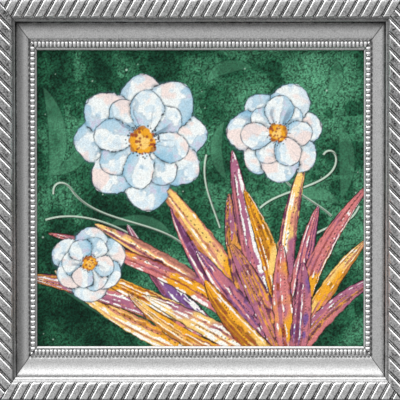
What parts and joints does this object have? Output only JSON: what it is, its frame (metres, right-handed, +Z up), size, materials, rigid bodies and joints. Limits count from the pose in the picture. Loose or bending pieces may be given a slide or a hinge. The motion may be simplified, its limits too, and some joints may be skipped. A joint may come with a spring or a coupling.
{
  "type": "framed art print",
  "caption": "Square art print with a loose watercolour design, in a silver moulding with leaning gadroon ribs, a cove and beads, backed by boards and hung on a sawtooth hanger.",
  "frame": {"origin": "on the wall, at the point where the hanger's middle notch catches its nail", "axes": "+X right and +Z up as seen from the room; -Y out of the wall, the way the picture faces; the wall is the plane y = 0"},
  "size_m": [0.406, 0.0331, 0.406],
  "materials": {
    "silver_moulding": "antique silver leaf paint over a wooden moulding, satin, dark in the grooves and bare wood at the back",
    "print_paper": "matt watercolour paper with a printed design, mostly dark green wash",
    "mount_board": "plain off-white board",
    "backing_board": "brown hardboard, smooth side out",
    "tab_steel": "thin flexible steel",
    "bumper_felt": "pressed felt",
    "hanger_zinc": "zinc-plated steel strip",
    "nail_brass": "brass-plated round heads"
  },
  "bodies": {
    "root": {"rail_top": "silver_moulding", "rail_right": "silver_moulding", "rail_bottom": "silver_moulding", "rail_left": "silver_moulding", "art_print": "print_paper", "mount_board": "mount_board", "backing_board": "backing_board", "tab_top_1": "tab_steel", "tab_top_2": "tab_steel", "tab_right_1": "tab_steel", "tab_right_2": "tab_steel", "tab_bottom_1": "tab_steel", "tab_bottom_2": "tab_steel", "tab_left_1": "tab_steel", "tab_left_2": "tab_steel", "bumper_top_left": "bumper_felt", "bumper_top_right": "bumper_felt", "bumper_bottom_left": "bumper_felt", "bumper_bottom_right": "bumper_felt", "hanger": "hanger_zinc", "hanger_nail_left": "nail_brass", "hanger_nail_right": "nail_brass"}
  },
  "joints": []
}
